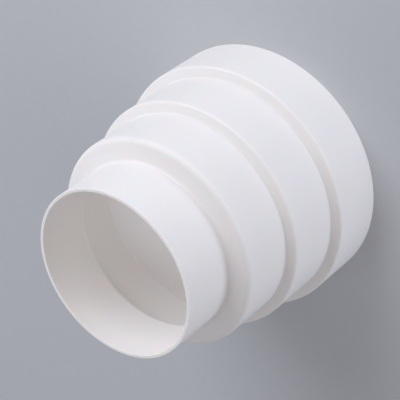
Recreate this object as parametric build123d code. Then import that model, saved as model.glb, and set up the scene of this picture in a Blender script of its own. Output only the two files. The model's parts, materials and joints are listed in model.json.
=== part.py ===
from build123d import *
import os
from math import hypot

# Duct reducer, moulded in one piece: four round collars that step down from the large end to the mouth.
# It stands on the rim of the large collar, with the airway along Z. Sizes are in millimetres.

# Outside diameters of the collars, from the large end to the mouth
large_collar_diameter = 149.0
third_collar_diameter = 137.0
second_collar_diameter = 125.0
mouth_collar_diameter = 100.0

# Straight lengths of the collars, from root to edge
large_collar_length = 33.2
third_collar_length = 33.2
second_collar_length = 33.2
mouth_collar_length = 33.2

# Height that each shoulder gains as it leans in to the next collar
large_shoulder_height = 1.6
third_shoulder_height = 1.6
second_shoulder_height = 1.9

# Wall, the same all over as a moulding needs it
wall = 1.9

# Rounding of the outer skin at the edge of each shoulder. The wide one behind the mouth is softer
large_shoulder_edge_radius = 1.6
third_shoulder_edge_radius = 1.6
second_shoulder_edge_radius = 3.5

# Rounding of the outer skin at the root of each collar
third_collar_root_radius = 0.8
second_collar_root_radius = 0.8
mouth_collar_root_radius = 1.8

# Lead-in on both edges of the two rims
rim_chamfer = 0.4


def section_corners(collars, shoulder_heights):
    """Corners of the outer and the inner skin, as (radius, height), from the large rim up to the mouth.

    The inner skin runs a wall's thickness inside the outer one. At a leaning shoulder that moves both
    of its corners down by the same drop.
    """
    height = 0.0
    outer = [(collars[0][0] / 2, height)]
    inner = [(collars[0][0] / 2 - wall, height)]
    for (diameter, length), (next_diameter, _), rise in zip(collars, collars[1:], shoulder_heights):
        radius = diameter / 2
        next_radius = next_diameter / 2
        step = radius - next_radius
        drop = wall * (hypot(step, rise) - rise) / step
        height += length
        outer += [(radius, height), (next_radius, height + rise)]
        inner += [(radius - wall, height - drop), (next_radius - wall, height + rise - drop)]
        height += rise
    mouth_diameter, mouth_length = collars[-1]
    outer.append((mouth_diameter / 2, height + mouth_length))
    inner.append((mouth_diameter / 2 - wall, height + mouth_length))
    return outer, inner


def corner_radii(edge_radii, root_radii):
    """Rounding at each corner of the outer and the inner skin, in the order of section_corners.

    The rounds of the two skins are nested, which keeps the wall even round each bend: inside a root
    the round is larger by the wall, and under a shoulder's edge it is smaller by the wall. Where the
    edge's round is no larger than the wall, the inner skin is sharp.
    """
    sharp = 0
    outer = [sharp]
    inner = [sharp]
    for edge_radius, root_radius in zip(edge_radii, root_radii):
        outer += [edge_radius, root_radius]
        inner += [max(edge_radius - wall, sharp), root_radius + wall]
    outer.append(sharp)
    inner.append(sharp)
    return outer, inner


def reducer_body():
    """The moulding: its wall section, closed at the two rims and turned about the airway."""
    collars = [
        (large_collar_diameter, large_collar_length),
        (third_collar_diameter, third_collar_length),
        (second_collar_diameter, second_collar_length),
        (mouth_collar_diameter, mouth_collar_length),
    ]
    shoulder_heights = [large_shoulder_height, third_shoulder_height, second_shoulder_height]
    edge_radii = [large_shoulder_edge_radius, third_shoulder_edge_radius, second_shoulder_edge_radius]
    root_radii = [third_collar_root_radius, second_collar_root_radius, mouth_collar_root_radius]
    outer, inner = section_corners(collars, shoulder_heights)
    outer_radii, inner_radii = corner_radii(edge_radii, root_radii)
    with BuildPart() as body:
        with BuildSketch(Plane.XZ) as section:
            with BuildLine():
                FilletPolyline(*outer, *inner[::-1], radius=outer_radii + inner_radii[::-1], close=True)
            make_face()
            levels = section.vertices().group_by(Axis.Y)
            chamfer(levels[0] + levels[-1], rim_chamfer)
        revolve(axis=Axis.Z)
    return body.part


os.makedirs("parts", exist_ok=True)
export_step(reducer_body(), "parts/reducer_body.step")
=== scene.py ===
"""Looks of a white stepped duct reducer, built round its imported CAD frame.

The frame gives the collars' radii and places. This script turns the same wall section into a smooth
mesh, dresses it as moulded ABS, and sets the floor, the lamps and the camera. Sizes are in millimetres
until they reach Blender, which works in metres.
"""

import json
import logging
import math
from dataclasses import dataclass
from enum import Enum, IntEnum
from typing import Any

import bpy
import numpy as np
from mathutils import Matrix, Vector


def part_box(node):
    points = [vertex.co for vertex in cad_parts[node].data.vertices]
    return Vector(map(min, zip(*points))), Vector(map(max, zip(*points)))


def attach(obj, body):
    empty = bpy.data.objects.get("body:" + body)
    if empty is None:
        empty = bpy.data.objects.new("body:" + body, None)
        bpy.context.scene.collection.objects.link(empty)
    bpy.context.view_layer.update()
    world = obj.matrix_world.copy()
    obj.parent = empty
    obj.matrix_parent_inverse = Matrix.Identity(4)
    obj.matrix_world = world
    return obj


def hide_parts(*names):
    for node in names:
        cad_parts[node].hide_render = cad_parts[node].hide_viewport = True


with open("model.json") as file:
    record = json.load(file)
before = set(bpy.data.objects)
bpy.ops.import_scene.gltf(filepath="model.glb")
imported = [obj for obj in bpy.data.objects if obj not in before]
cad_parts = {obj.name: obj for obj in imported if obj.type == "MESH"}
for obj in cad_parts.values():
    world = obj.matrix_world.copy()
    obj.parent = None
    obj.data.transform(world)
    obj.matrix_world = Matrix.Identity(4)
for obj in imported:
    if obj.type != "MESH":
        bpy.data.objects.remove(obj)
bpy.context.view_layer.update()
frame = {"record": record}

log = logging.getLogger("duct_reducer")

METRES_PER_MM = 0.001
IMAGE_SIDE_PX = 400
SENSOR_MM = 36.0
UP = Vector((0.0, 0.0, 1.0))


def to_linear(code: str) -> tuple[float, float, float, float]:
    """Turns an sRGB hex colour into linear light.

    Args:
        code: colour such as "#F1EFEC".

    Returns:
        Red, green, blue and an alpha of one.
    """
    channels = [level / 255 for level in bytes.fromhex(code.lstrip("#"))]
    # The sRGB curve is straight near black and a power above that
    red, green, blue = (c / 12.92 if c <= 0.04045 else ((c + 0.055) / 1.055) ** 2.4 for c in channels)
    return (red, green, blue, 1.0)


def per_metre(size_mm: float) -> float:
    """Texture scale, in repeats per metre, of a pattern with features of that size."""
    return 1 / (size_mm * METRES_PER_MM)


class MixSocket(IntEnum):
    """Sockets of a mix node that blends colours. Others share their names, so they go by number."""

    FACTOR = 0
    FIRST = 6
    SECOND = 7
    RESULT = 2


def add_node(
    tree: bpy.types.NodeTree,
    kind: str,
    settings: dict[str | int, Any] | None = None,
    links: dict[str | int, bpy.types.NodeSocket] | None = None,
) -> bpy.types.Node:
    """Adds a node with its settings and links.

    Args:
        tree: node tree that takes the node.
        kind: Blender's name of the node type.
        settings: values by socket name, socket number or property name.
        links: output sockets by the name or number of the input that they feed.

    Returns:
        The new node.
    """
    node = tree.nodes.new(kind)
    for name, value in (settings or {}).items():
        if isinstance(name, int) or name in node.inputs:
            node.inputs[name].default_value = value
        else:
            setattr(node, name, value)
    for name, source in (links or {}).items():
        tree.links.new(source, node.inputs[name])
    return node


def new_material(name: str) -> bpy.types.Material:
    """Makes a material with an empty node tree."""
    material = bpy.data.materials.new(name)
    material.use_nodes = True
    material.node_tree.nodes.clear()
    return material


@dataclass(frozen=True)
class MouldedAbs:
    """White ABS as it leaves a polished mould.

    The eye sees an opaque, slightly warm white with a broad satin sheen. The polished steel leaves a
    faint orange peel, and the melt leaves soft clouds in colour and gloss and long drag lines where
    the part was drawn off the core. Real drag lines are as fine as hairs. Here they are drawn coarser,
    so that they show.
    """

    name: str = "satin_white_abs"
    fresh_white: str = "#F3EFEA"
    clouded_white: str = "#F0ECE7"
    ior: float = 1.54
    gloss_roughness: float = 0.48
    dull_roughness: float = 0.60
    cloud_mm: float = 45.0
    cloud_detail: float = 3.0
    peel_mm: float = 1.6
    peel_detail: float = 1.0
    peel_height_mm: float = 0.004
    drag_line_mm: float = 2.4
    drag_line_detail: float = 2.0
    drag_line_height_mm: float = 0.002
    drag_line_width_to_length: float = 0.03
    scatter_weight: float = 1.0
    scatter_mm: tuple[float, float, float] = (0.7, 0.55, 0.45)

    def material(self) -> bpy.types.Material:
        """Builds the shader.

        Returns:
            The finished material.
        """
        material = new_material(self.name)
        tree = material.node_tree
        place = add_node(tree, "ShaderNodeTexCoord").outputs["Object"]
        clouds = add_node(
            tree,
            "ShaderNodeTexNoise",
            {"Scale": per_metre(self.cloud_mm), "Detail": self.cloud_detail},
            {"Vector": place},
        ).outputs["Fac"]
        colour = add_node(
            tree,
            "ShaderNodeMix",
            {
                "data_type": "RGBA",
                MixSocket.FIRST: to_linear(self.fresh_white),
                MixSocket.SECOND: to_linear(self.clouded_white),
            },
            {MixSocket.FACTOR: clouds},
        ).outputs[MixSocket.RESULT]
        gloss = add_node(
            tree,
            "ShaderNodeMapRange",
            {"To Min": self.gloss_roughness, "To Max": self.dull_roughness},
            {"Value": clouds},
        ).outputs["Result"]
        peel = add_node(
            tree,
            "ShaderNodeTexNoise",
            {"Scale": per_metre(self.peel_mm), "Detail": self.peel_detail},
            {"Vector": place},
        ).outputs["Fac"]
        drawn = add_node(
            tree,
            "ShaderNodeMapping",
            {"Scale": (1.0, 1.0, self.drag_line_width_to_length)},
            {"Vector": place},
        ).outputs["Vector"]
        drag = add_node(
            tree,
            "ShaderNodeTexNoise",
            {"Scale": per_metre(self.drag_line_mm), "Detail": self.drag_line_detail},
            {"Vector": drawn},
        ).outputs["Fac"]
        peeled = add_node(
            tree,
            "ShaderNodeBump",
            {"Distance": self.peel_height_mm * METRES_PER_MM},
            {"Height": peel},
        ).outputs["Normal"]
        surface = add_node(
            tree,
            "ShaderNodeBump",
            {"Distance": self.drag_line_height_mm * METRES_PER_MM},
            {"Height": drag, "Normal": peeled},
        ).outputs["Normal"]
        shader = add_node(
            tree,
            "ShaderNodeBsdfPrincipled",
            {
                "IOR": self.ior,
                "Subsurface Weight": self.scatter_weight,
                "Subsurface Radius": self.scatter_mm,
                "Subsurface Scale": METRES_PER_MM,
            },
            {"Base Color": colour, "Roughness": gloss, "Normal": surface},
        ).outputs["BSDF"]
        add_node(tree, "ShaderNodeOutputMaterial", None, {"Surface": shader})
        return material


@dataclass(frozen=True)
class SeamlessPaper:
    """Pale grey background paper: dead matt, with a faint fibre in its tone."""

    name: str = "seamless_grey_paper"
    light_fibre: str = "#C4C5C6"
    dark_fibre: str = "#C0C1C2"
    roughness: float = 0.95
    specular_level: float = 0.1
    fibre_mm: float = 6.0
    fibre_detail: float = 4.0

    def material(self) -> bpy.types.Material:
        """Builds the shader.

        Returns:
            The finished material.
        """
        material = new_material(self.name)
        tree = material.node_tree
        place = add_node(tree, "ShaderNodeTexCoord").outputs["Object"]
        fibre = add_node(
            tree,
            "ShaderNodeTexNoise",
            {"Scale": per_metre(self.fibre_mm), "Detail": self.fibre_detail},
            {"Vector": place},
        ).outputs["Fac"]
        colour = add_node(
            tree,
            "ShaderNodeMix",
            {
                "data_type": "RGBA",
                MixSocket.FIRST: to_linear(self.light_fibre),
                MixSocket.SECOND: to_linear(self.dark_fibre),
            },
            {MixSocket.FACTOR: fibre},
        ).outputs[MixSocket.RESULT]
        shader = add_node(
            tree,
            "ShaderNodeBsdfPrincipled",
            {"Roughness": self.roughness, "Specular IOR Level": self.specular_level},
            {"Base Color": colour},
        ).outputs["BSDF"]
        add_node(tree, "ShaderNodeOutputMaterial", None, {"Surface": shader})
        return material


class Turn(Enum):
    """Which way a corner of the section bends, seen with the plastic on the left."""

    OUTWARD = 1
    INWARD = -1


def unit(vector: np.ndarray) -> np.ndarray:
    """The vector at a length of one."""
    return vector / np.linalg.norm(vector)


@dataclass(frozen=True)
class Corner:
    """A corner of the wall section, in millimetres, with the radius that rounds it."""

    radius: float
    height: float
    rounding: float

    def place(self) -> np.ndarray:
        """The corner as a point of the section."""
        return np.array([self.radius, self.height])

    def bend(self, before: "Corner", after: "Corner", facets: int) -> tuple[np.ndarray, np.ndarray]:
        """Rounds the corner.

        Args:
            before: corner that the outline comes from.
            after: corner that the outline goes to.
            facets: number of straight pieces in the bend.

        Returns:
            Points of the bend, as radius and height, and the outward normal at each.
        """
        arrive = unit(self.place() - before.place())
        leave = unit(after.place() - self.place())
        angle = math.atan2(arrive[0] * leave[1] - arrive[1] * leave[0], float(arrive @ leave))
        turn = Turn.OUTWARD if angle > 0 else Turn.INWARD
        # The arc leaves the outline a tangent's length before the corner
        start = self.place() - arrive * self.rounding * math.tan(abs(angle) / 2)
        # The normal starts square to the outline, on its right, and swings round with it
        across, up = arrive
        swings = np.linspace(0.0, angle, facets + 1)
        cosines, sines = np.cos(swings), np.sin(swings)
        normals = np.stack([up * cosines + across * sines, up * sines - across * cosines], axis=-1)
        centre = start - normals[0] * self.rounding * turn.value
        return centre + normals * self.rounding * turn.value, normals


@dataclass(frozen=True)
class Collar:
    """A stretch of straight round wall: its radius and the heights between which it is straight."""

    radius: float
    low: float
    high: float

    @classmethod
    def from_frame(cls, name: str) -> "Collar":
        """Reads a collar, or the bore in one, from the mount of that name in the frame.

        Args:
            name: the mount's name.

        Returns:
            The collar, in millimetres.
        """
        mount = next(m for m in frame["record"]["mounts"] if m["name"] == name)
        middle = mount["pos_m"][2] / METRES_PER_MM
        half = mount["dims"]["length_mm"] / 2
        return cls(mount["dims"]["r_mm"], middle - half, middle + half)


def spin(pairs: np.ndarray, facets: int) -> np.ndarray:
    """Carries pairs of radius and height round the airway.

    Args:
        pairs: one row for each point of a section.
        facets: number of places round the airway.

    Returns:
        X, Y and Z of every point, place after place.
    """
    angles = np.linspace(0.0, 2 * math.pi, facets, endpoint=False)[:, None]
    radii, heights = pairs.T
    levels = np.broadcast_to(heights, (facets, len(pairs)))
    return np.stack([np.cos(angles) * radii, np.sin(angles) * radii, levels], axis=-1).reshape(-1, 3)


@dataclass(frozen=True)
class ReducerBody:
    """The moulding: four collars, the shoulders between them, and an even wall.

    The shoulders' rises and rounds run from the large end to the mouth. A small round stands for the
    lead-in at the rims, and another softens the inner skin where it would be sharp.
    """

    node: str = "reducer_body"
    slot: str = "moulded_white_abs"
    collar_names: tuple[str, ...] = ("large_collar", "third_collar", "second_collar", "mouth_collar")
    bore_name: str = "mouth_bore"
    shoulder_heights: tuple[float, ...] = (1.6, 1.6, 1.9)
    edge_radii: tuple[float, ...] = (1.6, 1.6, 3.5)
    root_radii: tuple[float, ...] = (0.8, 0.8, 1.8)
    rim_radius: float = 0.3
    inside_radius: float = 0.3
    facets_round: int = 288
    facets_per_bend: int = 8

    def corners(self) -> list[Corner]:
        """Lists the corners of the wall section.

        Returns:
            The outer skin from the large rim up to the mouth, then the inner skin back down.
        """
        collars = [Collar.from_frame(name) for name in self.collar_names]
        wall = collars[-1].radius - Collar.from_frame(self.bore_name).radius
        low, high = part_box(self.node)
        bottom, top = low.z / METRES_PER_MM, high.z / METRES_PER_MM
        outer = [Corner(collars[0].radius, bottom, self.rim_radius)]
        inner = [Corner(collars[0].radius - wall, bottom, self.rim_radius)]
        shoulders = zip(collars, collars[1:], self.shoulder_heights, self.edge_radii, self.root_radii)
        for collar, upper, rise, edge, root in shoulders:
            step = collar.radius - upper.radius
            # Length of wall that a round of one millimetre takes up on each side of the shoulder's edge
            tangent = (math.hypot(step, rise) - rise) / step
            height = collar.high + edge * tangent
            drop = wall * tangent
            outer += [
                Corner(collar.radius, height, edge),
                Corner(upper.radius, height + rise, root),
            ]
            inner += [
                Corner(collar.radius - wall, height - drop, max(edge - wall, self.inside_radius)),
                Corner(upper.radius - wall, height + rise - drop, root + wall),
            ]
        outer.append(Corner(collars[-1].radius, top, self.rim_radius))
        inner.append(Corner(collars[-1].radius - wall, top, self.rim_radius))
        return outer + inner[::-1]

    def section(self) -> tuple[np.ndarray, np.ndarray]:
        """Rounds every corner of the section.

        Returns:
            Points of the closed section, as radius and height, and the outward normal at each.
        """
        corners = self.corners()
        neighbours = zip(corners[-1:] + corners[:-1], corners, corners[1:] + corners[:1])
        bends = [corner.bend(before, after, self.facets_per_bend) for before, corner, after in neighbours]
        points, normals = zip(*bends)
        return np.concatenate(points), np.concatenate(normals)

    def mesh(self) -> bpy.types.Mesh:
        """Turns the section about the airway.

        Returns:
            A closed mesh, in metres, whose corner normals are those of the true surface.
        """
        points, normals = self.section()
        count = len(points)
        faces = []
        for column in range(self.facets_round):
            here = column * count
            there = (column + 1) % self.facets_round * count
            for row in range(count):
                above = (row + 1) % count
                faces.append((here + row, there + row, there + above, here + above))
        mesh = bpy.data.meshes.new(self.node)
        mesh.from_pydata(spin(points * METRES_PER_MM, self.facets_round).tolist(), [], faces)
        mesh.shade_smooth()
        mesh.normals_split_custom_set_from_vertices(spin(normals, self.facets_round).tolist())
        mesh.validate()
        return mesh

    def build(self, finish: MouldedAbs) -> bpy.types.Object:
        """Makes the piece, dresses it and puts it in the CAD node's place.

        Args:
            finish: what it is made of.

        Returns:
            The piece, riding on the part's only body.
        """
        piece = bpy.data.objects.new("reducer_moulding", self.mesh())
        bpy.context.scene.collection.objects.link(piece)
        piece.data.materials.append(finish.material())
        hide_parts(self.node)
        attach(piece, "root")
        return piece


@dataclass(frozen=True)
class Floor:
    """The flat sheet that the reducer stands on.

    It takes shadows but casts none, so the lower lamp shines up past it as through a thin opal sheet.
    """

    half_width: float = 2500.0

    def build(self, finish: SeamlessPaper) -> bpy.types.Object:
        """Lays the sheet at the height of the large rim.

        Args:
            finish: what it is made of.

        Returns:
            The floor.
        """
        reach = self.half_width * METRES_PER_MM
        corners = [(-reach, -reach, 0.0), (reach, -reach, 0.0), (reach, reach, 0.0), (-reach, reach, 0.0)]
        mesh = bpy.data.meshes.new("floor")
        mesh.from_pydata(corners, [], [(0, 1, 2, 3)])
        floor = bpy.data.objects.new("floor", mesh)
        bpy.context.scene.collection.objects.link(floor)
        mesh.materials.append(finish.material())
        floor.visible_shadow = False
        return floor


def heading(azimuth_deg: float, elevation_deg: float) -> Vector:
    """Unit vector from the object towards a place round it.

    Args:
        azimuth_deg: turn about +Z, from the -Y side towards +X.
        elevation_deg: angle above the floor.

    Returns:
        The direction in the part's frame.
    """
    azimuth, elevation = math.radians(azimuth_deg), math.radians(elevation_deg)
    level = math.cos(elevation)
    return Vector((level * math.sin(azimuth), -level * math.cos(azimuth), math.sin(elevation)))


class LampFront(Enum):
    """Outline of a lamp's front, by Blender's word for it."""

    SQUARE = "SQUARE"
    ROUND = "DISK"


@dataclass(frozen=True)
class FlatLamp:
    """A lamp with an even, flat front."""

    name: str
    front: LampFront
    width: float
    watts: float
    colour: str

    def hang(self, place: Vector, back: Vector) -> bpy.types.Object:
        """Puts the lamp in the scene.

        Args:
            place: where it hangs, in metres.
            back: direction that the back of the lamp faces.

        Returns:
            The hung lamp.
        """
        light = bpy.data.lights.new(self.name, "AREA")
        light.shape = self.front.value
        light.size = self.width * METRES_PER_MM
        light.energy = self.watts
        light.color = to_linear(self.colour)[:3]
        lamp = bpy.data.objects.new(self.name, light)
        lamp.location = place
        lamp.rotation_euler = back.to_track_quat("Z", "Y").to_euler()
        bpy.context.scene.collection.objects.link(lamp)
        return lamp


@dataclass(frozen=True)
class SoftBox:
    """A square studio lamp with a white cloth front, aimed at the middle of the reducer."""

    name: str
    azimuth_deg: float
    elevation_deg: float
    watts: float
    side: float
    colour: str = "#F0F3FF"
    distance: float = 1500.0

    def build(self, aim: Vector) -> bpy.types.Object:
        """Hangs the lamp.

        Args:
            aim: point that the lamp faces, in metres.

        Returns:
            The lamp.
        """
        away = heading(self.azimuth_deg, self.elevation_deg)
        lamp = FlatLamp(self.name, LampFront.SQUARE, self.side, self.watts, self.colour)
        return lamp.hang(aim + away * self.distance * METRES_PER_MM, away)


@dataclass(frozen=True)
class AirwayGlow:
    """A dim disc of light inside the large end, facing up the airway.

    It stands for the daylight that comes in at that end whenever the reducer isn't standing on it.
    """

    name: str = "airway_glow"
    bore_name: str = "large_bore"
    gap_to_wall: float = 7.6
    height: float = 30.0
    watts: float = 0.0193
    colour: str = "#F6F6FF"

    def build(self) -> bpy.types.Object:
        """Lays the disc, facing up and hidden from the camera.

        Returns:
            The lamp.
        """
        width = 2 * (Collar.from_frame(self.bore_name).radius - self.gap_to_wall)
        lamp = FlatLamp(self.name, LampFront.ROUND, width, self.watts, self.colour)
        disc = lamp.hang(UP * self.height * METRES_PER_MM, -UP)
        disc.visible_camera = False
        return disc


@dataclass(frozen=True)
class Studio:
    """The lamps and the dim even light of the room."""

    softboxes: tuple[SoftBox, ...] = (
        SoftBox("key_softbox", azimuth_deg=70.0, elevation_deg=30.0, watts=18.1, side=1200.0),
        SoftBox(
            "lower_softbox",
            azimuth_deg=-25.0,
            elevation_deg=-16.0,
            watts=8.9,
            side=700.0,
            colour="#E1EBFF",
        ),
        SoftBox(
            "front_softbox",
            azimuth_deg=-30.0,
            elevation_deg=30.0,
            watts=2.9,
            side=1000.0,
            colour="#FFF3F3",
        ),
        SoftBox("rear_softbox", azimuth_deg=175.0, elevation_deg=45.0, watts=3.6, side=1000.0),
    )
    glow: AirwayGlow = AirwayGlow()
    room_colour: str = "#F2F5FF"
    room_strength: float = 0.315
    aim_height: float = 69.0

    def light_room(self) -> None:
        """Gives the room its even light."""
        world = bpy.data.worlds.new("room")
        bpy.context.scene.world = world
        world.use_nodes = True
        tree = world.node_tree
        tree.nodes.clear()
        room = add_node(
            tree,
            "ShaderNodeBackground",
            {"Color": to_linear(self.room_colour), "Strength": self.room_strength},
        ).outputs["Background"]
        add_node(tree, "ShaderNodeOutputWorld", None, {"Surface": room})

    def build(self) -> list[bpy.types.Object]:
        """Lights the scene.

        Returns:
            The lamps.
        """
        self.light_room()
        aim = UP * self.aim_height * METRES_PER_MM
        return [softbox.build(aim) for softbox in self.softboxes] + [self.glow.build()]


@dataclass(frozen=True)
class PhotoCamera:
    """The camera at the photograph's angle.

    The part stands on its large end here, so the camera is rolled until the mouth points down and to
    the left as it does in the picture.
    """

    name: str = "photo_camera"
    focal_px: float = 1531.8
    aim: tuple[float, float, float] = (4.78, -13.17, 69.0)
    distance: float = 833.93
    azimuth_deg: float = 0.0
    elevation_deg: float = 42.46
    roll_deg: float = 126.16

    def build(self) -> bpy.types.Object:
        """Makes the camera and gives it to the scene.

        Returns:
            The camera.
        """
        lens = bpy.data.cameras.new(self.name)
        lens.sensor_width = SENSOR_MM
        lens.lens = self.focal_px * SENSOR_MM / IMAGE_SIDE_PX
        away = heading(self.azimuth_deg, self.elevation_deg)
        upright = away.to_track_quat("Z", "Y").to_matrix().to_4x4()
        rolled = upright @ Matrix.Rotation(math.radians(-self.roll_deg), 4, "Z")
        place = (Vector(self.aim) + away * self.distance) * METRES_PER_MM
        camera = bpy.data.objects.new(self.name, lens)
        camera.matrix_world = Matrix.Translation(place) @ rolled
        bpy.context.scene.collection.objects.link(camera)
        bpy.context.scene.camera = camera
        return camera


def main() -> None:
    """Builds the reducer, the floor, the lamps and the camera, in that order."""
    logging.basicConfig(level=logging.INFO, format="%(name)s: %(message)s")
    bpy.context.scene.view_settings.view_transform = "Standard"
    piece = ReducerBody().build(MouldedAbs())
    log.info("%s has %d faces", piece.name, len(piece.data.polygons))
    floor = Floor().build(SeamlessPaper())
    log.info("%s laid", floor.name)
    for lamp in Studio().build():
        log.info("%s hung", lamp.name)
    camera = PhotoCamera().build()
    log.info("%s placed", camera.name)


if __name__ == "__main__":
    main()
